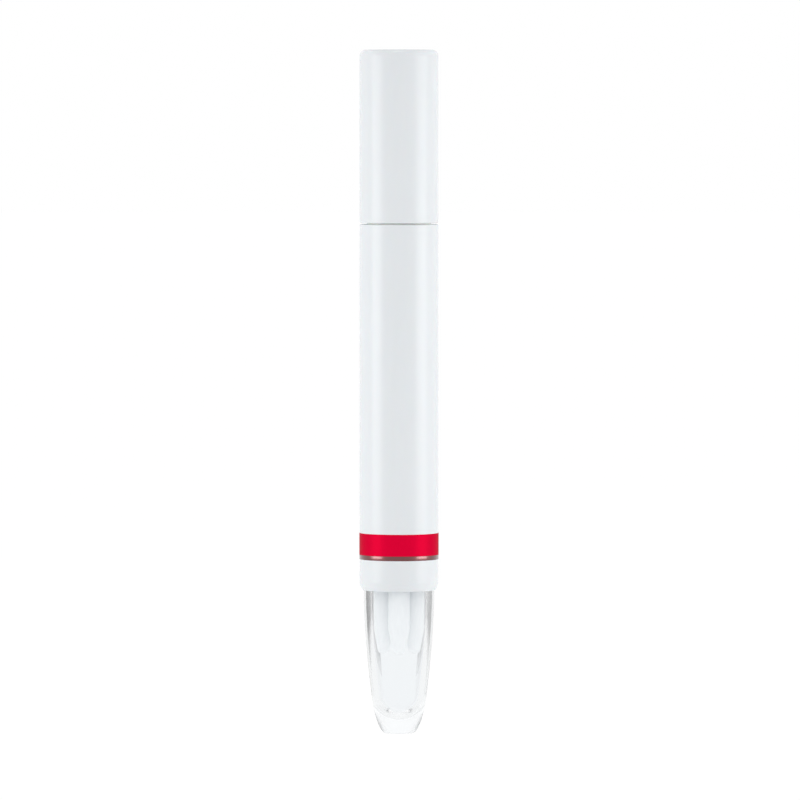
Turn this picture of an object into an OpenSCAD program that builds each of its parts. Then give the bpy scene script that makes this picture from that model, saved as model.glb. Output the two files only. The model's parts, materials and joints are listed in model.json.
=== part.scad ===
// Pocket applicator pen for nail oil. It stands upright on the foot of its clear tail case, cap at the top.
// Z = 0 is the underside of that foot, and Z runs along the pen's axis. Millimetres.

/* [Barrel] */
// Outside diameter of the barrel and the cap
body_d = 13.8; // [13.4:0.1:15]
// Length of the barrel, rim to rim
barrel_len = 64; // [60:0.5:80]
// Wall of the barrel, and of the cap's skirt
wall = 1.3; // [1.1:0.05:1.4]
// Gap between barrel and cap, seen as a dark seam
seam_gap = 0.25; // [0.2:0.05:0.5]
// Height over which the barrel's lower rim rounds in
rim_h = 1.6; // [0.8:0.1:2]
// Flat left on the rounded lower rim
rim_land = 0.1; // [0.05:0.05:0.2]
// Thickness of the wall that closes the oil reservoir
partition_t = 1.2; // [0.8:0.1:2]
// Size of the broken edges at the seam
edge_break = 0.15; // [0.1:0.05:0.25]

/* [Printed bands] */
// Height of the coloured band
band_h = 3.8; // [2:0.1:8]
// Underside of the coloured band above the barrel's lower rim
band_rise = 6.2; // [5:0.1:20]
// Height of the foil line under the band
foil_h = 0.8; // [0.4:0.1:1.5]
// Thickness of the printed and stamped films
film_t = 0.05; // [0.04:0.01:0.08]

/* [Cap] */
// Length of the cap
cap_len = 30.25; // [29.5:0.05:36]
// Thickness of the cap's flat top
cap_top_t = 1.3; // [1:0.1:1.8]
// Radius of the cap's top edge
cap_edge_r = 1.1; // [0.4:0.1:1.2]
// Step in the cap's bore that stops the liner
cap_step = 0.4; // [0.3:0.05:0.5]
// Wall of the liner inside the cap
liner_wall = 0.7; // [0.6:0.05:0.8]
// Height of the liner's bottom flange
liner_flange_h = 1; // [0.6:0.1:1.6]
// Free height over the tip inside the liner
tip_headroom = 4.5; // [4.2:0.1:5]
// Ribs that centre the liner in the cap
liner_ribs = 6; // [3:1:8]

/* [Tip holder] */
// Length of the spigot inside the barrel
spigot_len = 12; // [10:0.5:13]
// Flange that seats in the barrel's top rim
flange_t = 0.8; // [0.6:0.1:1.2]
// How far the flange reaches past the barrel's bore
flange_w = 0.7; // [0.3:0.05:0.8]
// Length of the neck that the cap's skirt slides over
neck_len = 8; // [6.5:0.5:9]
// Length of the band that the liner seals on
land_len = 3; // [2.5:0.1:4]
// Length of the tapered nose
nose_len = 4; // [3:0.1:5]
// Wall of the nose at its end, round the tip
nose_wall = 0.78; // [0.6:0.02:0.9]
// Grip ribs on the neck
neck_ribs = 6; // [3:1:8]
// Oil channels cut in the tip's bore
oil_channels = 4; // [3:1:6]
// Radius of each oil channel
channel_r = 0.45; // [0.3:0.05:0.5]

/* [Tip] */
// Overall length of the felt tip
tip_len = 20; // [18:0.5:22]
// Length of the tip's tapered end
tip_taper = 4.6; // [3:0.1:5]
// Radius of the tip's very end
tip_end_r = 1.1; // [0.6:0.1:1.2]
// How far the tip stands out of the nose
tip_out = 6.5; // [5:0.1:7]
// How far the tip presses in to open the valve
press_travel = 1.5; // [1:0.1:2]

/* [Valve] */
// Radius of the valve stem
stem_r = 0.75; // [0.6:0.05:0.9]
// Wall of the cup that grips the tip
cup_wall = 0.7; // [0.5:0.05:0.8]
// Depth of tip that the cup grips
cup_grip = 4.5; // [3:0.1:5]
// Thickness of the seat gasket
gasket_t = 1.2; // [0.8:0.1:1.6]
// Radius of the hole in the seat gasket
gasket_hole_r = 1.25; // [1.1:0.05:1.4]
// How far the gasket reaches past the bore over it, where it is clamped
gasket_seat = 0.35; // [0.3:0.05:0.6]
// Length of the valve housing
valve_len = 12; // [11.5:0.1:13]
// Wall of the valve housing
valve_wall = 0.7; // [0.6:0.05:0.8]
// Width of each oil window in the housing
window_w = 1.8; // [1.2:0.1:2.4]
// Diameter of the spring's wire
wire_d = 0.4; // [0.3:0.05:0.5]
// Turns of the spring
spring_turns = 7; // [5:1:9]

/* [Spare tip case] */
// Length of the clear case below the barrel
case_len = 25.1; // [24:0.1:30]
// How far the case is set in from the barrel's outside
case_inset = 0.72; // [0.65:0.01:0.85]
// Wall of the clear case
case_wall = 1.35; // [1.25:0.05:1.45]
// Taper of the case's radius from mouth to foot
case_taper = 2.35; // [2:0.05:2.6]
// Radius of the flat foot
foot_r = 2.5; // [2:0.1:3]
// Height over which the foot's edge rounds
foot_round = 5; // [3.5:0.1:6]
// Thickness of the case's floor
case_floor = 2.8; // [2:0.1:4]
// Height over which the cavity's end rounds
cavity_round = 3.6; // [3:0.1:4.5]
// Depth that the case's shoulder sits inside the barrel
case_seat = 1.5; // [1.2:0.1:2.5]
// Length of the case's neck above its shoulder
case_neck_len = 7; // [5:0.5:9]
// Grip ribs on the case's neck
case_ribs = 4; // [3:1:6]
// Play of the bundle of spare tips in the case's mouth
bundle_play = 0.29; // [0.25:0.005:0.5]
// Gap between two spare tips in their bundle
spare_gap = 0.27; // [0.1:0.01:0.4]
// Free height over the spare tips
spare_headroom = 2.6; // [2.4:0.1:4]

/* [Hidden] */
spares = 4;

// Clearances
fit_gap = 0.02;     // between pieces pressed together for good
rib_gap = 0.03;     // between a grip rib and the bore it slides in
neck_gap = 0.08;    // between a sliding neck and its bore, clear of the ribs
case_gap = 0.1;     // round the case's shoulder
tip_gap = 0.12;     // round the felt tip in the nose
cup_gap = 0.15;     // round the tip cup in its bore
cone_gap = 0.03;    // between the poppet's cone and its seat
seat_gap = 0.06;    // between the spare tips and the case where they stop
overrun = 1;        // how far a cut runs past the face it opens

// Drawing accuracy
round_fn = 96;
small_fn = 32;
arc_steps = 8;
sweep_steps = 28;
wire_sides = 6;
rings_per_turn = 12;

// Small features, each with its piece
rib_w = 0.8;            // width of a grip rib
rib_lead = 0.6;         // taper at a rib's leading end
lead_in = 0.4;          // chamfer at the start of a spigot or neck
bead_h = 0.15;          // height of a sealing bead on the spigot
bead_len = 1.2;         // length of a sealing bead
bead_share = 0.3;       // places of the two beads along the spigot, from each end
neck_round = 0.5;       // rounding of the neck's top corner
cup_clear = 0.6;        // free height over the cup
cup_floor = 0.8;        // floor of the tip cup
hub_r = 1.5;            // hub under the tip cup
hub_len = 2.2;
hub_clear = 0.9;        // gap left under the hub with the tip pressed in
head_r = 1.8;           // poppet head
head_len = 0.6;
guide_r = 0.8;          // pin inside the spring
guide_len = 6;
housing_floor = 1;      // floor of the valve housing
inlet_r = 0.9;          // hole in that floor
windows = 4;
window_sill = 0.2;      // from the housing's floor to a window
window_gap = 0.4;       // from a window to the holder's end
spring_clear = 0.45;    // from the guide pin to the middle of the spring's wire
closed_gap = 0.12;      // between the wires of a closed end turn
flutes = 4;             // oil grooves down the tip cup
flute_r = 0.4;
liner_gap = 0.05;       // between the liner and the land it seals on
liner_lead = 0.3;       // chamfer in the liner's mouth
liner_draw = 0.35;      // how far the liner's bore draws in over the nose
liner_rib_h = 0.45;     // from the liner to the cap's bore
liner_seal_share = 0.5; // part of the land's length over which the liner's wide bore runs on past it
liner_rib_share = 0.7;  // part of the liner's height that its ribs run
flange_clear = 0.5;     // from the holder's neck to the liner
rear_chamfer = 0.3;     // rear edge of a felt tip
taper_power = 1.75;     // how the case's taper gathers towards its foot

body_r = body_d / 2;
bore_r = body_r - wall;
case_r = body_r - case_inset;
cavity_r = case_r - case_wall;

// Four spare tips stand in a bundle in the case's mouth, and that sets the size of every tip
spread = 1 / sin(180 / spares);
tip_r = (cavity_r - bundle_play - spare_gap / 2 * spread) / (1 + spread);
bundle_r = (tip_r + spare_gap / 2) * spread;

// The rounding of the barrel's lower rim leaves its side at a tangent and ends on the land round the mouth
mouth_r = case_r + case_gap;
rim_in = body_r - mouth_r - rim_land;
rim_r = (pow(rim_h, 2) + pow(rim_in, 2)) / (2 * rim_in);

// Heights along the pen
barrel_z0 = case_len;
barrel_z1 = barrel_z0 + barrel_len;
cap_z0 = barrel_z1 + seam_gap;
cap_z1 = cap_z0 + cap_len;
cap_ceiling = cap_z1 - cap_top_t;
holder_z0 = barrel_z1 - spigot_len;
neck_z1 = barrel_z1 + neck_len;
land_z1 = neck_z1 + land_len;
nose_z1 = land_z1 + nose_len;
tip_z1 = nose_z1 + tip_out;
tip_z0 = tip_z1 - tip_len;
cup_z0 = tip_z0 - cup_floor;
cup_z1 = tip_z0 + cup_grip;
hub_z0 = cup_z0 - hub_len;
gasket_z1 = hub_z0 - press_travel - hub_clear;
gasket_z0 = gasket_z1 - gasket_t;
valve_z0 = gasket_z0 - valve_len;
spring_z0 = valve_z0 + housing_floor;
liner_z0 = neck_z1 + flange_clear;
cap_step_z = liner_z0 + liner_flange_h;
liner_ceiling = tip_z1 + tip_headroom;
liner_z1 = liner_ceiling + liner_wall;
shoulder_z = case_len + case_seat;
case_z1 = shoulder_z + case_neck_len;

// Radii of the pieces that fit inside one another
flange_r = bore_r + flange_w;
neck_r = bore_r - neck_gap;
cup_r = tip_r + cup_wall;
cup_bore_r = cup_r + cup_gap;
tip_bore_r = tip_r + tip_gap;
nose_r = tip_bore_r + nose_wall;
valve_r = cup_bore_r + gasket_seat;
valve_bore_r = valve_r + fit_gap;
chamber_r = valve_r - valve_wall;
spring_r = guide_r + spring_clear;
cap_bore_r = bore_r - cap_step;
liner_r = cap_bore_r - liner_rib_h;
seal_r = liner_r - liner_wall;
land_r = seal_r - liner_gap;
liner_bore_r = seal_r - liner_draw;
case_neck_r = bore_r - neck_gap;

// The poppet's 45 degree cone meets the lower edge of the gasket's hole
cone_rise = gasket_hole_r - stem_r;
cone_z1 = gasket_z0 + cone_rise - cone_gap;
cone_z0 = cone_z1 - (head_r - stem_r);
head_z0 = cone_z0 - head_len;
guide_z0 = head_z0 - guide_len;

// The spare tips stop where the case narrows to their bundle
seat_share = pow((bundle_play - seat_gap) / case_taper, 1 / taper_power);
spare_z0 = case_len * (1 - seat_share) - tip_taper;
partition_z0 = spare_z0 + tip_len + spare_headroom;
partition_z1 = partition_z0 + partition_t;

// Printed films on the barrel
band_z0 = barrel_z0 + band_rise;
foil_z0 = band_z0 - foil_h;

// Points of an arc about c, from angle a0 to a1
function arc(c, r, a0, a1) =
    [for (i = [0:arc_steps]) let (a = a0 + (a1 - a0) * i / arc_steps) c + r * [cos(a), sin(a)]];

// Radius of the case's outer wall at height z, before its foot rounds in
function case_side(z) = case_r - case_taper * pow(max(0, 1 - z / case_len), taper_power);

// A share that rises from 0 to 1 along a quarter circle as z climbs from z0 to z0 + h
function rounding(z, z0, h) = sqrt(max(0, 1 - pow(max(0, z0 + h - z) / h, 2)));

function case_outer(z) = foot_r + (case_side(z) - foot_r) * rounding(z, 0, foot_round);
function case_inner(z) = (case_side(z) - case_wall) * rounding(z, case_floor, cavity_round);

// Heights that crowd together near z0, where the case rounds in
function crowded(z0, z1) = [for (i = [0:sweep_steps]) z0 + (z1 - z0) * pow(i / sweep_steps, 2)];

module lathe(points) rotate_extrude($fn = round_fn) polygon(points);

module ring_of(count) for (i = [0:count - 1]) rotate([0, 0, 360 * i / count]) children();

module tube(r_out, r_in, z0, z1)
    lathe([[r_in, z0], [r_out, z0], [r_out, z1], [r_in, z1]]);

// White barrel: oil reservoir above the partition, socket for the spare tip case below it
module barrel()
    color("white")
    lathe(concat(
        [[0, partition_z0], [bore_r, partition_z0], [bore_r, shoulder_z], [mouth_r, shoulder_z]],
        [[mouth_r, barrel_z0]],
        arc([body_r - rim_r, barrel_z0 + rim_h], rim_r, -asin(rim_h / rim_r), 0),
        [[body_r, barrel_z1 - edge_break], [body_r - edge_break, barrel_z1]],
        [[flange_r + fit_gap, barrel_z1], [flange_r + fit_gap, barrel_z1 - flange_t - fit_gap]],
        [[bore_r, barrel_z1 - flange_t - fit_gap], [bore_r, partition_z1], [0, partition_z1]]
    ));

// Coloured film round the barrel
module colour_band()
    color("crimson") tube(body_r + film_t, body_r, band_z0, band_z0 + band_h);

// Hot-stamped foil line under the coloured band
module foil_line()
    color("darkgoldenrod") tube(body_r + film_t, body_r, foil_z0, band_z0);

// One grip rib along a neck, tapered at its leading end
module grip_rib(r_in, r_out, z0, z1)
    rotate([90, 0, 0])
    translate([0, 0, -rib_w / 2])
    linear_extrude(rib_w)
    polygon([[r_in, z0], [r_out, z0], [r_out, z1 - rib_lead], [r_in, z1]]);

// Front moulding: spigot with two sealing beads, flange, ribbed neck, sealing land and nose
module tip_holder()
    color("whitesmoke")
    difference() {
        union() {
            lathe(concat(
                [[valve_bore_r, holder_z0], [bore_r - bead_h - lead_in, holder_z0]],
                spigot_side(),
                [[flange_r, barrel_z1 - flange_t], [flange_r, barrel_z1]],
                [[neck_r, barrel_z1]],
                arc([neck_r - neck_round, neck_z1 - neck_round], neck_round, 0, 90),
                [[land_r, neck_z1], [land_r, land_z1], [nose_r, nose_z1], [tip_bore_r, nose_z1]],
                [[tip_bore_r, cup_z1 + cup_clear], [cup_bore_r, cup_z1 + cup_clear]],
                [[cup_bore_r, gasket_z1], [valve_bore_r, gasket_z1]]
            ));
            ring_of(neck_ribs)
                grip_rib(neck_r - neck_round, bore_r - rib_gap, barrel_z1, neck_z1 - neck_round);
        }
        ring_of(oil_channels)
            translate([tip_bore_r, 0, cup_z1])
            cylinder(r = channel_r, h = nose_z1 - cup_z1 + overrun, $fn = small_fn);
    }

// The spigot's outside, from its lead-in up to the flange, with a bead near each end
function spigot_side() =
    let (r = bore_r - bead_h, top = barrel_z1 - flange_t, span = top - holder_z0)
    let (z_low = holder_z0 + span * bead_share, z_high = top - span * bead_share)
    concat([[r, holder_z0 + lead_in]], bead(r, z_low), bead(r, z_high), [[r, top]]);

function bead(r, z) =
    [[r, z - bead_len / 2], [r + bead_h - fit_gap, z - bead_len / 4],
     [r + bead_h - fit_gap, z + bead_len / 4], [r, z + bead_len / 2]];

// Elastomer washer that the poppet closes against
module valve_gasket()
    color("dimgray") tube(valve_r, gasket_hole_r, gasket_z0, gasket_z1);

// Housing of the valve, with oil windows through its wall below the holder's end
module valve_housing() {
    window_z0 = spring_z0 + window_sill;
    window_h = holder_z0 - window_gap - window_z0;
    color("gainsboro")
    difference() {
        lathe([
            [inlet_r, valve_z0], [valve_r, valve_z0], [valve_r, gasket_z0], [chamber_r, gasket_z0],
            [chamber_r, spring_z0], [inlet_r, spring_z0]
        ]);
        ring_of(windows)
            translate([0, -window_w / 2, window_z0])
            cube([valve_r + overrun, window_w, window_h]);
    }
}

// Compression spring under the poppet's head: one unbroken wire with its ends flattened
module valve_spring() {
    rings = spring_turns * rings_per_turn;
    last = rings * wire_sides;
    points = [for (i = [0:rings], k = [0:wire_sides - 1]) wire_point(i / rings_per_turn, k)];
    sides = [for (i = [0:rings - 1], k = [0:wire_sides - 1])
        let (a = i * wire_sides + k, b = i * wire_sides + (k + 1) % wire_sides)
        each [[a, b, b + wire_sides], [a, b + wire_sides, a + wire_sides]]];
    start = [for (k = [1:wire_sides - 2]) [0, k + 1, k]];
    end = [for (k = [1:wire_sides - 2]) [last, last + k, last + k + 1]];
    color("silver") polyhedron(points, concat(start, sides, end));
}

// Corner k of the wire's section after so many turns
function wire_point(turns, k) =
    let (around = 360 * turns, a = 360 * k / wire_sides, r = spring_r + wire_d / 2 * cos(a))
    [r * cos(around), r * sin(around), wire_z(turns) + wire_d / 2 * sin(a)];

// Height of the wire's middle after so many turns: one closed turn at each end, an even climb between
function wire_z(turns) =
    let (z0 = spring_z0 + wire_d / 2, z1 = head_z0 - wire_d / 2, closed = wire_d + closed_gap)
    let (open = (z1 - z0 - 2 * closed) / (spring_turns - 2))
    turns < 1 ? z0 + closed * turns
    : turns > spring_turns - 1 ? z1 - closed * (spring_turns - turns)
    : z0 + closed + open * (turns - 1);

// Stem, cone, head and the guide pin inside the spring, turned in one piece
module valve_poppet()
    color("gainsboro")
    lathe([
        [0, guide_z0], [guide_r, guide_z0], [guide_r, head_z0], [head_r, head_z0], [head_r, cone_z0],
        [stem_r, cone_z1], [stem_r, cup_z0 - fit_gap], [0, cup_z0 - fit_gap]
    ]);

// Cup that grips the tip's rear end, pressed on the stem, with grooves that let oil pass it
module tip_cup()
    color("gainsboro")
    difference() {
        lathe([
            [stem_r + fit_gap, hub_z0], [hub_r, hub_z0], [hub_r, cup_z0], [cup_r, cup_z0], [cup_r, cup_z1],
            [tip_r + fit_gap, cup_z1], [tip_r + fit_gap, tip_z0 - fit_gap], [0, tip_z0 - fit_gap],
            [0, cup_z0], [stem_r + fit_gap, cup_z0]
        ]);
        ring_of(flutes)
            translate([cup_r, 0, cup_z0 - overrun])
            cylinder(r = flute_r, h = cup_z1 - cup_z0 + 2 * overrun, $fn = small_fn);
    }

// Felt tip, bullet end at z = 0 and pointing down: the cone runs off the rounded end at a tangent
module felt_tip() {
    cone_h = tip_taper - tip_end_r;
    tangent = atan2(cone_h, tip_r) - acos(tip_end_r / norm([tip_r, cone_h]));
    color("snow")
    lathe(concat(
        arc([0, tip_end_r], tip_end_r, -90, tangent),
        [[tip_r, tip_taper], [tip_r, tip_len - rear_chamfer], [tip_r - rear_chamfer, tip_len]],
        [[0, tip_len]]
    ));
}

module applicator_tip()
    translate([0, 0, tip_z1]) mirror([0, 0, 1]) felt_tip();

module spare_tip(i)
    rotate([0, 0, 360 * i / spares - 90]) translate([bundle_r, 0, spare_z0]) felt_tip();

// Cap: flat top with a rounded edge, plain skirt, and a step in its bore that stops the liner
module cap_shell()
    color("white")
    lathe(concat(
        [[bore_r + edge_break, cap_z0], [body_r - edge_break, cap_z0], [body_r, cap_z0 + edge_break]],
        arc([body_r - cap_edge_r, cap_z1 - cap_edge_r], cap_edge_r, 0, 90),
        [[0, cap_z1], [0, cap_ceiling], [cap_bore_r, cap_ceiling], [cap_bore_r, cap_step_z]],
        [[bore_r, cap_step_z], [bore_r, cap_z0 + edge_break]]
    ));

// Liner: seals on the holder's land and closes over the tip, so that the oil can't creep out
module cap_liner() {
    seal_z1 = land_z1 + land_len * liner_seal_share;
    color("ghostwhite")
    union() {
        lathe([
            [seal_r + liner_lead, liner_z0], [bore_r - fit_gap, liner_z0],
            [bore_r - fit_gap, cap_step_z], [liner_r, cap_step_z], [liner_r, liner_z1], [0, liner_z1],
            [0, liner_ceiling], [liner_bore_r, liner_ceiling], [liner_bore_r, nose_z1],
            [seal_r, seal_z1], [seal_r, liner_z0 + liner_lead]
        ]);
        ring_of(liner_ribs)
            grip_rib(liner_r - liner_wall / 2, cap_bore_r - fit_gap, cap_step_z,
                cap_step_z + (liner_z1 - cap_step_z) * liner_rib_share);
    }
}

// Clear case: flat foot, ogive side, round-ended cavity, and a ribbed neck that plugs into the barrel
module spare_tip_case()
    color("azure", 0.4)
    union() {
        lathe(concat(
            [[0, 0]],
            [for (z = crowded(0, case_len)) [case_outer(z), z]],
            [[case_r, shoulder_z], [case_neck_r, shoulder_z], [case_neck_r, case_z1 - lead_in]],
            [[case_neck_r - lead_in, case_z1], [cavity_r, case_z1]],
            [for (z = down(crowded(case_floor, case_len))) [case_inner(z), z]]
        ));
        ring_of(case_ribs)
            grip_rib(cavity_r + lead_in / 2, bore_r - rib_gap, shoulder_z, case_z1 - lead_in);
    }

function down(list) = [for (i = [len(list) - 1:-1:0]) list[i]];

barrel();
colour_band();
foil_line();
tip_holder();
valve_gasket();
valve_housing();
valve_spring();
valve_poppet();
tip_cup();
applicator_tip();
cap_shell();
cap_liner();
spare_tip_case();
spare_tip(0);  // spare_tip_1
spare_tip(1);  // spare_tip_2
spare_tip(2);  // spare_tip_3
spare_tip(3);  // spare_tip_4
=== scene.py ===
# The nail oil pen as it stands for its picture: upright on its clear case, cap at the top.
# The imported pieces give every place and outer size, in metres, with Z up the pen's axis.
import json
import math

import bmesh
import bpy
from mathutils import Matrix, Vector, noise

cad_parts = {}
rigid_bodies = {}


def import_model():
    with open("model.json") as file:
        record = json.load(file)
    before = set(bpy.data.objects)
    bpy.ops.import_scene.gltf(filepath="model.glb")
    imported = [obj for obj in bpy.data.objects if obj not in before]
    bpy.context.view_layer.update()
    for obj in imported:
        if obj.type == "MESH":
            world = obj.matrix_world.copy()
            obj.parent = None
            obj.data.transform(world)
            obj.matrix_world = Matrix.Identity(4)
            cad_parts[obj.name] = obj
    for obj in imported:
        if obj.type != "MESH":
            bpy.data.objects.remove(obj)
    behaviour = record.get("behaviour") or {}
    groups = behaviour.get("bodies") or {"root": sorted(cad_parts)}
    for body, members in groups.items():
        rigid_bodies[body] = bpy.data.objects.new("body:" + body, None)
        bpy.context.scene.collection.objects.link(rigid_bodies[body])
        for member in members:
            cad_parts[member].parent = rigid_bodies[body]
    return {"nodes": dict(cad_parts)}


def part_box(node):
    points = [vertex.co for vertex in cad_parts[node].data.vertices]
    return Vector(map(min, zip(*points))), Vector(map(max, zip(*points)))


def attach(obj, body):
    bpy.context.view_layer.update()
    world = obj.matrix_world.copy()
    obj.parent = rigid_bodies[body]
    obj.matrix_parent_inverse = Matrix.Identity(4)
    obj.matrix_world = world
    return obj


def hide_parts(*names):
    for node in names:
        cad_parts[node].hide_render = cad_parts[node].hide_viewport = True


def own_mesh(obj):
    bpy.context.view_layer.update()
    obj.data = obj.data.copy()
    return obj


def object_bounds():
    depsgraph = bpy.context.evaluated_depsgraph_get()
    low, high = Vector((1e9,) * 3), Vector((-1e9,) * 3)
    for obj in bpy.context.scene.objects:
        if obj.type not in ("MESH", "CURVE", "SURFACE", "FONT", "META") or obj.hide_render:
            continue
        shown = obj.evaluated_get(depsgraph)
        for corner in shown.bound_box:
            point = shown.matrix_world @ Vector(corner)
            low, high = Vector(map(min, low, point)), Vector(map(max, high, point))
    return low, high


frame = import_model()
nodes = frame["nodes"]
cad_low, cad_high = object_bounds()
MM = 0.001


# Camera: level with the cap, about 1.3 m off, tipped down so that the pen fills the picture's height.
# The pen's axis lies a little left of the picture's middle.
PICTURE_PX = 800
PX = 0.175 * MM
AXIS_PX = 399
BASE_PX = 733.4
LEVEL_PX = 100
SENSOR = 36
DISTANCE = 1.3
CLIP_NEAR = 0.05
CLIP_FAR = 20

camera = bpy.data.objects.new("camera", bpy.data.cameras.new("camera"))
bpy.context.scene.collection.objects.link(camera)
bpy.context.scene.camera = camera
camera_z = (BASE_PX - LEVEL_PX) * PX
aim_z = (BASE_PX - PICTURE_PX / 2) * PX
side = (PICTURE_PX / 2 - AXIS_PX) * PX
camera.location = (side, -DISTANCE, camera_z)
camera.rotation_euler = (math.pi / 2 - math.atan((camera_z - aim_z) / DISTANCE), 0, 0)
camera.data.sensor_width = SENSOR
camera.data.lens = SENSOR * math.hypot(DISTANCE, camera_z - aim_z) / (PICTURE_PX * PX)
camera.data.clip_start = CLIP_NEAR
camera.data.clip_end = CLIP_FAR


# Barrel: one injection moulding in glossy white plastic, closed by a wall above the socket for the
# spare tip case. Its lower rim rounds in, and its top rim takes the tip holder's flange.
TURN_STEPS = 144
ARC_POINTS = 8
MERGE = 0.001 * MM
NEAR = 0.005 * MM
SHARP_TURN = 35
WALL = 1.3 * MM
EDGE_BREAK = 0.15 * MM
RIM_LAND = 0.1 * MM
RIM_H = 1.6 * MM
CASE_GAP = 0.1 * MM
CASE_SEAT = 1.5 * MM
FLANGE_T = 0.8 * MM
HEADROOM = 2.6 * MM
FIT_GAP = 0.02 * MM
PARTITION = 1.2 * MM
WHITE = (0.815, 0.845, 0.868, 1)
WHITE_DEPTH = 0.5 * MM
TONE_SIZE = 9 * MM
PEEL_SIZE = 1.3 * MM
PEEL_DEPTH = 0.003 * MM


class Wire:
    """A socket in a finish, so that sums on it can be written as Python."""

    def __init__(self, finish, socket):
        self.finish = finish
        self.socket = socket

    def maths(self, operation, first, second):
        return self.finish.node("ShaderNodeMath", {"operation": operation}, {0: first, 1: second})

    def __add__(self, other):
        return self.maths("ADD", self, other)

    def __radd__(self, other):
        return self.maths("ADD", other, self)

    def __sub__(self, other):
        return self.maths("SUBTRACT", self, other)

    def __rsub__(self, other):
        return self.maths("SUBTRACT", other, self)

    def __mul__(self, other):
        return self.maths("MULTIPLY", self, other)

    def __rmul__(self, other):
        return self.maths("MULTIPLY", other, self)


class Finish:
    """A material for one kind of moulding, film, metal or felt, built on the Principled shader."""

    def __init__(self, name, **values):
        self.material = bpy.data.materials.new(name)
        self.material.use_nodes = True
        self.tree = self.material.node_tree
        self.shader = self.tree.nodes["Principled BSDF"]
        self.set({key.replace("_", " "): value for key, value in values.items()})

    def set(self, sockets, node=None):
        for key, value in sockets.items():
            socket = (node or self.shader).inputs[key]
            if isinstance(value, Wire):
                self.tree.links.new(value.socket, socket)
            else:
                socket.default_value = value

    def node(self, kind, settings, sockets, output=0):
        node = self.tree.nodes.new(kind)
        for key, value in settings.items():
            setattr(node, key, value)
        self.set(sockets, node)
        return Wire(self, node.outputs[output])

    def place(self, stretch=(1, 1, 1)):
        """Places on the piece in metres, each axis multiplied by its share in stretch."""
        spot = self.node("ShaderNodeTexCoord", {}, {}, "Object")
        return self.node("ShaderNodeMapping", {}, {"Vector": spot, "Scale": stretch})

    def along(self, axis):
        """The place along one axis, in metres."""
        return self.node("ShaderNodeSeparateXYZ", {}, {"Vector": self.place()}, axis)

    def ramp(self, value, start, end):
        """A share from 0 to 1 as a value goes from start to end."""
        return self.node("ShaderNodeMapRange", {}, {"Value": value, "From Min": start, "From Max": end})

    def grain(self, size, detail=3, stretch=(1, 1, 1)):
        """Noise from 0 to 1 whose lumps are about size metres across."""
        sockets = {"Vector": self.place(stretch), "Scale": 1 / size, "Detail": detail}
        return self.node("ShaderNodeTexNoise", {}, sockets)

    def tint(self, share, first, second):
        """A colour from first to second as share goes from 0 to 1."""
        settings = {"data_type": "RGBA"}
        return self.node("ShaderNodeMix", settings, {0: share, 6: first, 7: second}, 2)

    def bump(self, height, depth):
        """A normal for a height from 0 to 1 that stands for a depth in metres."""
        return self.node("ShaderNodeBump", {}, {"Height": height, "Distance": depth, "Strength": 1})


def shade(colour, factor):
    """The colour with its red, green and blue multiplied by factor."""
    return tuple(min(1, part * factor) for part in colour[:3]) + (1,)


def moulded(name, colour, roughness, **values):
    """A moulded plastic: faintly uneven in tone and gloss, with the slight waviness of a mould's polish."""
    finish = Finish(name, IOR=1.5, **values)
    tone = finish.grain(TONE_SIZE)
    peel = finish.grain(PEEL_SIZE, 2)
    finish.set({
        "Base Color": finish.tint(tone, shade(colour, 0.985), shade(colour, 1.01)),
        "Roughness": roughness - 0.03 + 0.06 * tone,
        "Normal": finish.bump(peel, PEEL_DEPTH),
    })
    return finish.material


def arc(centre, radius, start, end):
    """Points of an arc about a centre in the (radius, height) plane, from one angle to another."""
    turns = [start + (end - start) * i / ARC_POINTS for i in range(ARC_POINTS + 1)]
    return [(centre[0] + radius * math.cos(a), centre[1] + radius * math.sin(a)) for a in turns]


def turned(outline, steps=TURN_STEPS):
    """A bmesh of an outline of (radius, height) points spun about the pen's axis. The outline's ends are
    joined unless both lie on the axis."""
    form = bmesh.new()
    corners = [form.verts.new((r, 0, z)) for r, z in outline]
    on_axis = outline[0][0] == 0 and outline[-1][0] == 0
    ends = corners[1:] if on_axis else corners[1:] + corners[:1]
    for here, there in zip(corners, ends):
        form.edges.new((here, there))
    geometry = form.verts[:] + form.edges[:]
    bmesh.ops.spin(
        form, geom=geometry, cent=(0, 0, 0), axis=(0, 0, 1), angle=2 * math.pi, steps=steps, use_merge=True
    )
    bmesh.ops.remove_doubles(form, verts=form.verts[:], dist=MERGE)
    bmesh.ops.recalc_face_normals(form, faces=form.faces[:])
    return form


def ease(form, radius, height, size, segments=4):
    """Rounds the ring edge of a turned form at that radius and height."""

    def on_ring(corner):
        reach = math.hypot(corner.co.x, corner.co.y)
        return abs(reach - radius) < NEAR and abs(corner.co.z - height) < NEAR

    ring = [edge for edge in form.edges if all(on_ring(corner) for corner in edge.verts)]
    bmesh.ops.bevel(
        form, geom=ring, offset=size, segments=segments, profile=0.5, affect="EDGES", material=-1
    )


def piece(name, form, material, body, node):
    """Makes a finished form into an object of the pen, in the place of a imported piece."""
    mesh = bpy.data.meshes.new(name)
    form.to_mesh(mesh)
    form.free()
    mesh.shade_smooth()
    mesh.set_sharp_from_angle(angle=math.radians(SHARP_TURN))
    mesh.materials.append(material)
    made = bpy.data.objects.new(name, mesh)
    bpy.context.scene.collection.objects.link(made)
    even = made.modifiers.new("even", "WEIGHTED_NORMAL")
    even.keep_sharp = True
    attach(made, body)
    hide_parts(node)
    return made


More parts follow.
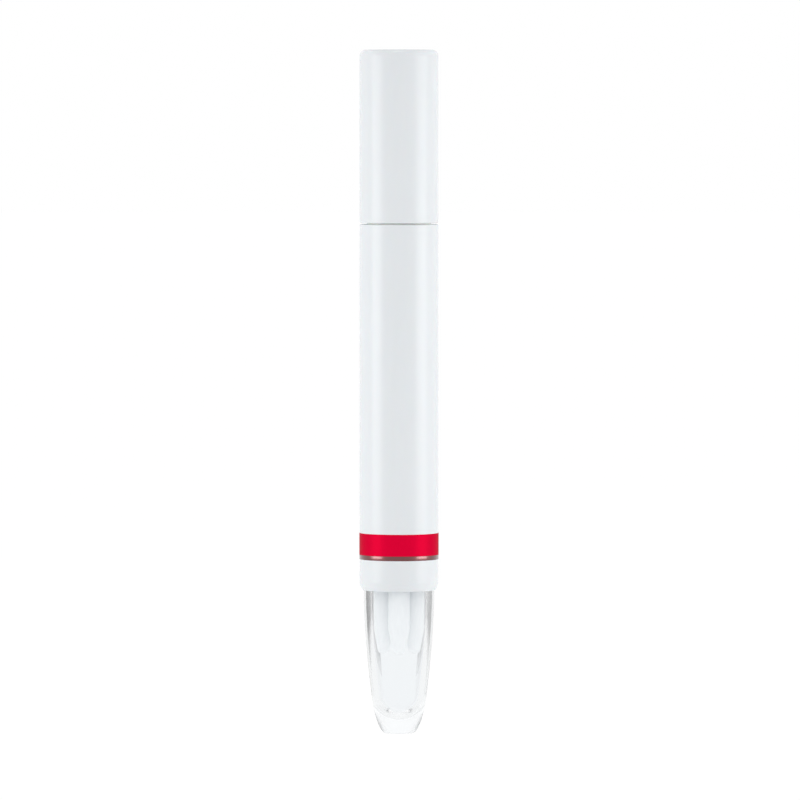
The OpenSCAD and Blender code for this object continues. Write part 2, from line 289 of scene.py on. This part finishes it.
low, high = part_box("barrel")
body_r = high.x
bore_r = body_r - WALL
case_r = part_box("spare_tip_case")[1].x
case_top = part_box("spare_tip_case")[1].z
shoulder_z = low.z + CASE_SEAT
mouth_r = case_r + CASE_GAP
partition_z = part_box("spare_tip_1")[1].z + HEADROOM
recess_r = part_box("tip_holder")[1].x + FIT_GAP
recess_z = high.z - FLANGE_T - FIT_GAP
white_plastic = moulded(
    "white_plastic", WHITE, 0.25, Specular_IOR_Level=0.2, Subsurface_Weight=0.05, Subsurface_Scale=WHITE_DEPTH
)
outline = [(0, partition_z), (bore_r, partition_z), (bore_r, shoulder_z)]
outline += [(mouth_r, shoulder_z), (mouth_r, low.z)]
rim_in = body_r - mouth_r - RIM_LAND
rim_r = (RIM_H ** 2 + rim_in ** 2) / (2 * rim_in)
outline += arc((body_r - rim_r, low.z + RIM_H), rim_r, -math.asin(RIM_H / rim_r), 0)
outline += [(body_r, high.z), (recess_r, high.z), (recess_r, recess_z), (bore_r, recess_z)]
outline += [(bore_r, partition_z + PARTITION), (0, partition_z + PARTITION)]
barrel = turned(outline)
ease(barrel, body_r, high.z, EDGE_BREAK)
piece("white_barrel", barrel, white_plastic, "barrel", "barrel")


# Red band: a printed film round the barrel, a twentieth of a millimetre thick, under a thin grey-tinted
# lacquer that deepens the red towards its sides.
RED = (0.88, 0.0014, 0.043, 1)
LACQUER = (0.7, 0.7, 0.7, 1)
INK_SIZE = 0.6 * MM
INK_DEPTH = 0.002 * MM
CLOUD_SIZE = 5 * MM
FILM_EDGE = 0.6


def film_ring(node):
    """A thin ring of film in the place of a packed band, its edges rounded over a share of its thickness."""
    low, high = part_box(node)
    outline = [(body_r, low.z), (high.x, low.z), (high.x, high.z), (body_r, high.z)]
    ring = turned(outline)
    for height in (low.z, high.z):
        ease(ring, high.x, height, FILM_EDGE * (high.x - body_r), segments=3)
    return ring


red_film = Finish(
    "red_film", IOR=1.5, Metallic=0.08, Specular_IOR_Level=0.005, Coat_Weight=0.5, Coat_Roughness=0.3,
    Coat_IOR=1.02, Coat_Tint=LACQUER
)
ink = red_film.grain(INK_SIZE, 4)
cloud = red_film.grain(CLOUD_SIZE)
red_film.set({
    "Base Color": red_film.tint(ink * 0.6 + cloud * 0.4, shade(RED, 0.93), shade(RED, 1.07)),
    "Roughness": 0.3 + 0.08 * ink,
    "Normal": red_film.bump(ink, INK_DEPTH),
})
piece("red_band", film_ring("colour_band"), red_film.material, "barrel", "colour_band")


# Foil line: hot-stamped bronze foil under the red band, slightly rippled by the stamp, with a clear lacquer
# over it.
BRONZE = (0.15, 0.045, 0.045, 1)
RIPPLE_SIZE = 0.5 * MM
RIPPLE_DEPTH = 0.004 * MM

bronze_foil = Finish("bronze_foil", Metallic=1, Coat_Weight=1, Coat_Roughness=0.18)
ripple = bronze_foil.grain(RIPPLE_SIZE, 4)
bronze_foil.set({
    "Base Color": bronze_foil.tint(ripple, shade(BRONZE, 0.9), shade(BRONZE, 1.1)),
    "Roughness": 0.3 + 0.06 * ripple,
    "Normal": bronze_foil.bump(ripple, RIPPLE_DEPTH),
})
piece("bronze_line", film_ring("foil_line"), bronze_foil.material, "barrel", "foil_line")


# Inner mouldings: tip holder, cap liner and the valve's cage, poppet and cup, in natural milky plastic.
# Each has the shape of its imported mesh, with its loose triangles joined into one smooth skin.
NATURAL = (0.80, 0.80, 0.77, 1)
NATURAL_DEPTH = 1.5 * MM


def joined(node):
    """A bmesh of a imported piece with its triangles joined."""
    form = bmesh.new()
    form.from_mesh(nodes[node].data)
    bmesh.ops.remove_doubles(form, verts=form.verts[:], dist=MERGE)
    return form


natural_plastic = moulded(
    "natural_plastic", NATURAL, 0.42, Subsurface_Weight=0.25, Subsurface_Scale=NATURAL_DEPTH
)
for name, body, node in (
    ("front_moulding", "barrel", "tip_holder"),
    ("inner_cap", "cap", "cap_liner"),
    ("valve_cage", "barrel", "valve_housing"),
    ("valve_plunger", "applicator", "valve_poppet"),
    ("tip_socket", "applicator", "tip_cup"),
):
    piece(name, joined(node), natural_plastic, body, node)


# Valve gasket: a punched washer of dark elastomer, the seat of the valve. The tip holder and the valve's
# cage clamp it between them.
RUBBER = (0.03, 0.03, 0.032, 1)

gasket_rubber = moulded("gasket_rubber", RUBBER, 0.6)
piece("seat_washer", joined("valve_gasket"), gasket_rubber, "barrel", "valve_gasket")


# Valve spring: stainless wire wound in seven turns, one closed turn at each end, under the poppet's head.
WIRE_R = 0.2 * MM
WIRE_SIDES = 12
TURNS = 7
STEPS_A_TURN = 40
CLOSED_GAP = 0.12 * MM
STEEL = (0.62, 0.62, 0.64, 1)
DRAWN_SIZE = 0.3 * MM
DRAWN_DEPTH = 0.002 * MM

spring_steel = Finish("spring_steel", Metallic=1)
drawn = spring_steel.grain(DRAWN_SIZE, 4)
spring_steel.set({
    "Base Color": spring_steel.tint(drawn, shade(STEEL, 0.9), shade(STEEL, 1.05)),
    "Roughness": 0.25 + 0.1 * drawn,
    "Normal": spring_steel.bump(drawn, DRAWN_DEPTH),
})
low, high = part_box("valve_spring")
coil_r = high.x - WIRE_R
closed_rise = 2 * WIRE_R + CLOSED_GAP
open_rise = high.z - low.z - 2 * WIRE_R - 2 * closed_rise
spring = bmesh.new()
bmesh.ops.create_circle(spring, cap_ends=True, segments=WIRE_SIDES, radius=WIRE_R)
upright = Matrix.Rotation(math.pi / 2, 3, "X")
bmesh.ops.rotate(spring, verts=spring.verts[:], cent=(0, 0, 0), matrix=upright)
bmesh.ops.translate(spring, verts=spring.verts[:], vec=(coil_r, 0, low.z + WIRE_R))
section = spring.verts[:] + spring.edges[:] + spring.faces[:]
for turns, rise in ((1, closed_rise), (TURNS - 2, open_rise), (1, closed_rise)):
    steps = turns * STEPS_A_TURN
    spun = bmesh.ops.spin(
        spring, geom=section, cent=(0, 0, 0), axis=(0, 0, 1), dvec=(0, 0, rise / steps),
        angle=2 * math.pi * turns, steps=steps, use_duplicate=False
    )
    section = spun["geom_last"]
bmesh.ops.recalc_face_normals(spring, faces=spring.faces[:])
coil = piece("coil_spring", spring, spring_steel.material, "barrel", "valve_spring")
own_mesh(coil)


# Felt tips: rods of bonded white fibre, ground to a bullet at one end. One is at work under the cap,
# and four spares stand in the clear case with their bullets down.
TIP_END_R = 1.1 * MM
TIP_TAPER = 4.6 * MM
REAR_CHAMFER = 0.3 * MM
TIP_STEPS = 96
TIP_RINGS = 40
FUZZ = 0.018 * MM
FUZZ_ACROSS = 6
FUZZ_SHIFT = 500
FUZZ_LEVEL = 0.1
FELT = (0.93, 0.94, 0.95, 1)
FELT_DEPTH = 3 * MM
FIBRE_SIZE = 0.25 * MM
FIBRE_STRETCH = (1, 1, 0.12)
FIBRE_DEPTH = 0.03 * MM
MOTTLE_SIZE = 0.8 * MM


def bullet(end_r, taper, radius):
    """Points from the axis round a bullet end, along the cone that runs off it, to the full radius."""
    cone = taper - end_r
    tangent = math.atan2(cone, radius) - math.acos(end_r / math.hypot(radius, cone))
    return arc((0, end_r), end_r, -math.pi / 2, tangent) + [(radius, taper)]


def felt_tip(node, flipped=False):
    """A felt tip in the place of a packed one, its surface roughened by its fibres. They run along it, and
    each tip has its own."""
    low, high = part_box(node)
    middle = (low + high) / 2
    radius = (high.x - low.x) / 2
    length = high.z - low.z
    points = bullet(TIP_END_R, TIP_TAPER, radius)
    points[0] = (0, 0)
    straight = length - TIP_TAPER - REAR_CHAMFER
    points += [(radius, TIP_TAPER + straight * i / TIP_RINGS) for i in range(1, TIP_RINGS + 1)]
    points += [(radius - REAR_CHAMFER, length), (0, length)]
    tip = turned(points, TIP_STEPS)
    for v in tip.verts:
        out = Vector((v.co.x, v.co.y, 0))
        if out.length > 0:
            spot = Vector((v.co.x * FUZZ_ACROSS, v.co.y * FUZZ_ACROSS, v.co.z))
            fibre = noise.noise(spot / MM + middle * FUZZ_SHIFT)
            v.co += out.normalized() * FUZZ * min(0, fibre - FUZZ_LEVEL)
    if flipped:
        upside_down = Matrix.Rotation(math.pi, 3, "X")
        bmesh.ops.rotate(tip, verts=tip.verts[:], cent=(0, 0, 0), matrix=upside_down)
        bmesh.ops.translate(tip, verts=tip.verts[:], vec=(0, 0, length))
    bmesh.ops.translate(tip, verts=tip.verts[:], vec=(middle.x, middle.y, low.z))
    return tip


felt = Finish("felt", IOR=1.45, Subsurface_Weight=1, Subsurface_Scale=FELT_DEPTH)
felt.set({"Subsurface Radius": (1, 1, 1)})
fibres = felt.grain(FIBRE_SIZE, 4, FIBRE_STRETCH)
mottle = felt.grain(MOTTLE_SIZE, 2)
felt.set({
    "Base Color": felt.tint(fibres * 0.7 + mottle * 0.3, shade(FELT, 0.9), shade(FELT, 1.06)),
    "Roughness": 0.8 + 0.15 * fibres,
    "Normal": felt.bump(fibres, FIBRE_DEPTH),
})
working_tip = felt_tip("applicator_tip", flipped=True)
piece("working_tip", working_tip, felt.material, "applicator", "applicator_tip")
for number in (1, 2, 3, 4):
    name = f"spare_tip_{number}"
    piece(f"spare_felt_{number}", felt_tip(name), felt.material, name, name)


# Cap: a plain white tube with a flat top and a rounded top edge, moulded in the barrel's plastic.
# A step in its bore stops the liner.
CAP_TOP = 1.3 * MM
CAP_EDGE = 1.1 * MM
CAP_STEP = 0.4 * MM
LINER_FLANGE = 1 * MM

low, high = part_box("cap_shell")
liner_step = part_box("cap_liner")[0].z + LINER_FLANGE
narrow_r = bore_r - CAP_STEP
outline = [(0, high.z), (body_r, high.z), (body_r, low.z), (bore_r + EDGE_BREAK, low.z)]
outline += [(bore_r, low.z + EDGE_BREAK), (bore_r, liner_step), (narrow_r, liner_step)]
outline += [(narrow_r, high.z - CAP_TOP), (0, high.z - CAP_TOP)]
cap = turned(outline)
ease(cap, body_r, high.z, CAP_EDGE, segments=10)
ease(cap, body_r, low.z, EDGE_BREAK)
piece("white_cap", cap, white_plastic, "cap", "cap_shell")


# Spare tip case: a thick clear moulding with a round-ended cavity. Its neck plugs into the barrel, and the
# pen stands on its small flat foot. The plastic is clear all over, apart from a faint haze in its thick foot.
FOOT_R = 2.5 * MM
FOOT_ROUND = 5 * MM
CASE_WALL = 1.35 * MM
CASE_TAPER = 2.35 * MM
TAPER_POWER = 1.75
CASE_FLOOR = 2.8 * MM
CAVITY_ROUND = 3.6 * MM
NECK_GAP = 0.08 * MM
NECK_LEAD = 0.4 * MM
CASE_POINTS = 40
CLEAR = (0.97, 0.985, 0.995, 1)
HAZE = 0.14
HAZE_TOP = 4.4 * MM
HAZE_FULL = 3.4 * MM
FLOW_SIZE = 6 * MM
FLOW_DEPTH = 0.004 * MM


def rounding(z, start, rise):
    """A share from 0 to 1 along a quarter circle as z climbs from start to start + rise."""
    return math.sqrt(max(0, 1 - (max(0, start + rise - z) / rise) ** 2))


def case_side(z):
    """The case's radius at a height, before its foot is rounded."""
    return case_r - CASE_TAPER * max(0, 1 - z / case_len) ** TAPER_POWER


def case_outer(z):
    return FOOT_R + (case_side(z) - FOOT_R) * rounding(z, 0, FOOT_ROUND)


def case_inner(z):
    return (case_side(z) - CASE_WALL) * rounding(z, CASE_FLOOR, CAVITY_ROUND)


def heights(start, end):
    """Heights from start to end, close together near start."""
    return [start + (end - start) * (i / CASE_POINTS) ** 2 for i in range(CASE_POINTS + 1)]


case_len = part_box("barrel")[0].z
neck_r = bore_r - NECK_GAP
cavity_r = case_r - CASE_WALL
outline = [(0, 0)] + [(case_outer(z), z) for z in heights(0, case_len)]
outline += [(case_r, case_len + CASE_SEAT), (neck_r, case_len + CASE_SEAT), (neck_r, case_top - NECK_LEAD)]
outline += [(neck_r - NECK_LEAD, case_top), (cavity_r, case_top)]
outline += [(case_inner(z), z) for z in reversed(heights(CASE_FLOOR, case_len))]
outline[-1] = (0, CASE_FLOOR)
clear_plastic = Finish("clear_plastic", Base_Color=CLEAR, Transmission_Weight=1, IOR=1.5)
flow = clear_plastic.grain(FLOW_SIZE, 1)
haze = clear_plastic.ramp(clear_plastic.along("Z"), HAZE_TOP, HAZE_FULL)
clear_plastic.set({
    "Roughness": 0.02 + 0.02 * flow + HAZE * haze,
    "Normal": clear_plastic.bump(flow, FLOW_DEPTH),
})
case = turned(outline)
clear_case = piece(
    "clear_case", case, clear_plastic.material, "tip_case", "spare_tip_case"
)


# Floor: a wide plain white sheet. It is white to the camera, a little dimmer through clear plastic, and the
# pen's shadow still falls on it.
FLOOR_SIZE = 12
SHEET_WHITE = 1.035
SHEET_SHARE = 0.93
SHEET_DIM = 0.1
PAPER = (0.9, 0.9, 0.9, 1)


def sheet(name, width, height, material):
    """A flat rectangle in the XY plane about the origin, which isn't part of the pen. It keeps its place
    under or behind the clear case, also when the case is pulled off."""
    form = bmesh.new()
    bmesh.ops.create_grid(form, x_segments=1, y_segments=1, size=0.5)
    bmesh.ops.scale(form, verts=form.verts[:], vec=(width, height, 1))
    mesh = bpy.data.meshes.new(name)
    form.to_mesh(mesh)
    form.free()
    mesh.materials.append(material)
    made = bpy.data.objects.new(name, mesh)
    bpy.context.scene.collection.objects.link(made)
    made.parent = clear_case.parent
    return made


def backdrop_rays(finish):
    """1 or more on the rays that come from the camera, or are sent on by gloss or clear plastic."""
    names = ("Is Camera Ray", "Is Glossy Ray", "Is Transmission Ray")
    direct, glossy, clear = (finish.node("ShaderNodeLightPath", {}, {}, name) for name in names)
    return direct + glossy + clear


paper = Finish("paper", Base_Color=PAPER, Roughness=0.9)
refracted = paper.node("ShaderNodeLightPath", {}, {}, "Is Transmission Ray")
brightness = SHEET_WHITE - SHEET_DIM * refracted
glow = paper.node("ShaderNodeEmission", {}, {"Color": (1, 1, 1, 1), "Strength": brightness})
shaded = Wire(paper, paper.shader.outputs[0])
mixed = paper.node("ShaderNodeMixShader", {}, {0: backdrop_rays(paper) * SHEET_SHARE, 1: shaded, 2: glow})
paper.set({"Surface": mixed}, paper.tree.nodes["Material Output"])
sheet("floor", FLOOR_SIZE, FLOOR_SIZE, paper.material)


# Flags: two low grey cards that stand close behind the pen, one on each side. Only light that has come
# through the clear case meets them, and they draw the dark lines along its walls. Each pales outwards and
# towards its foot.
FLAG_REACH = 100 * MM
FLAG_HEIGHT = 20 * MM
FLAG_NEAR = 15
FLAG_FAR = 62
FLAG_KNEE = (FLAG_NEAR + FLAG_FAR) / 3
FLAG_PALE = 0.8
FLAG_FOOT = 2 * MM
FLAG_RISE = 9 * MM


def flag(name, hand, dark):
    """A card on the left (hand -1) or right (hand 1), of tone dark where it is darkest."""
    turns = (FLAG_NEAR, FLAG_KNEE, FLAG_FAR)
    near, knee, far = (hand * FLAG_REACH * math.tan(math.radians(turn)) for turn in turns)
    card = Finish(name, Roughness=1)
    outwards = card.ramp(card.along("X"), knee, far)
    downwards = card.ramp(card.along("Z"), FLAG_RISE, FLAG_FOOT)
    pale = card.node("ShaderNodeMath", {"operation": "MAXIMUM"}, {0: outwards, 1: downwards})
    card.set({"Base Color": card.tint(pale, (dark, dark, dark, 1), (FLAG_PALE, FLAG_PALE, FLAG_PALE, 1))})
    made = sheet(name, abs(far - near), FLAG_HEIGHT, card.material)
    made.data.transform(Matrix.Rotation(math.pi / 2, 4, "X"))
    made.data.transform(Matrix.Translation(((near + far) / 2, FLAG_REACH, FLAG_HEIGHT / 2)))
    made.visible_camera = False
    made.visible_diffuse = False
    made.visible_glossy = False
    made.visible_shadow = False


flag("left_flag", hand=-1, dark=0.2)
flag("right_flag", hand=1, dark=0.38)


# Light: a soft box on each side, a small one above the cap, and an even white room. The lamps don't show
# through clear plastic, where each would be a hard white strip.
BOX_REACH = 0.4
BOX_HEIGHT = 0.13
TOP_SIZE = 0.12
TOP_RISE = 0.4
ROOM_LIGHT = 0.595


def lamp(name, width, height, power, place, turn):
    """A rectangular lamp, which faces down before it is turned."""
    light = bpy.data.lights.new(name, "AREA")
    light.shape = "RECTANGLE"
    light.size = width
    light.size_y = height
    light.energy = power
    made = bpy.data.objects.new(name, light)
    bpy.context.scene.collection.objects.link(made)
    made.location = place
    made.rotation_euler = turn
    made.visible_transmission = False


def side_box(name, azimuth, width, power):
    """A soft box at that azimuth from the camera's side, standing on the floor and facing the pen."""
    turn = math.radians(azimuth)
    place = (BOX_REACH * math.sin(turn), -BOX_REACH * math.cos(turn), BOX_HEIGHT / 2)
    lamp(name, width, BOX_HEIGHT, power, place, (math.pi / 2, 0, turn))


side_box("left_box", azimuth=-68, width=0.23, power=0.55)
side_box("right_box", azimuth=70, width=0.25, power=0.58)
lamp("top_box", TOP_SIZE, TOP_SIZE, power=0.4, place=(0, 0, cad_high[2] + TOP_RISE), turn=(0, 0, 0))


class Room(Finish):
    """The world's shader, with the same way of making nodes."""

    def __init__(self, name):
        self.world = bpy.data.worlds.new(name)
        self.world.use_nodes = True
        self.tree = self.world.node_tree
        self.shader = self.tree.nodes["Background"]


room = Room("room")
bpy.context.scene.world = room.world
room.set({"Color": (1, 1, 1, 1), "Strength": ROOM_LIGHT})
lit = Wire(room, room.shader.outputs[0])
shown = room.node("ShaderNodeBackground", {}, {"Color": (1, 1, 1, 1), "Strength": 1})
choice = room.node("ShaderNodeMixShader", {}, {0: backdrop_rays(room), 1: lit, 2: shown})
room.set({"Surface": choice}, room.tree.nodes["World Output"])
bpy.context.scene.view_settings.view_transform = "Standard"


# Light paths: light that the felt tips scatter leaves the clear case unblurred, so none of it is lost there.
# It may turn as often as it does between the white tips and in the thick clear foot.
BOUNCES = 64

cycles = bpy.context.scene.cycles
cycles.blur_glossy = 0
cycles.max_bounces = BOUNCES
cycles.diffuse_bounces = BOUNCES
cycles.glossy_bounces = BOUNCES
cycles.transmission_bounces = BOUNCES
